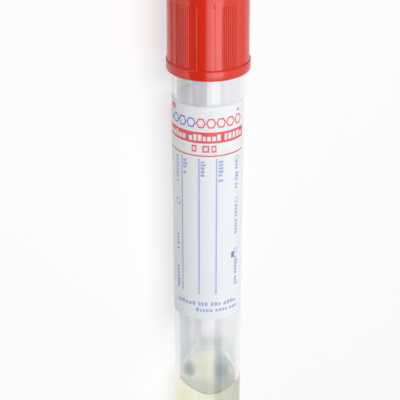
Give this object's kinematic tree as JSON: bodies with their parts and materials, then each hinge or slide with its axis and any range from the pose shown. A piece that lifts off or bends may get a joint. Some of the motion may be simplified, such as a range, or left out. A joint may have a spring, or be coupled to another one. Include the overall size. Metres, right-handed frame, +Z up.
{
  "type": "blood collection tube",
  "caption": "Round-bottomed clear plastic sample tube with a ribbed red push-on cap, rubber stopper, wrap-around label and separator gel.",
  "frame": {"origin": "on the surface the tube lies on, under the middle of its whole length", "axes": "+Y along the tube towards the cap, leaning up by 1.2 degrees because the tube lies on the cap's rim and on its round bottom; +Z up; the tube has rolled 27 degrees to its rest, so the front of the label faces up and towards -X"},
  "size_m": [0.0186, 0.1114, 0.0187],
  "materials": {
    "clear_plastic": "clear, glossy",
    "red_cap_plastic": "glossy moulded, red",
    "stopper_rubber": "matt",
    "label_film": "satin white film with coloured print",
    "gel": "wet, translucent, pale yellow"
  },
  "bodies": {
    "tube_body": {"tube": "clear_plastic", "label": "label_film", "separator_gel": "gel"},
    "closure": {"safety_cap": "red_cap_plastic", "stopper": "stopper_rubber"}
  },
  "joints": [
    {"name": "closure_pull", "type": "slide", "parent": "tube_body", "child": "closure", "axis": [0, 0.9998, 0.0208], "range_m": [0, 0.03]}
  ]
}
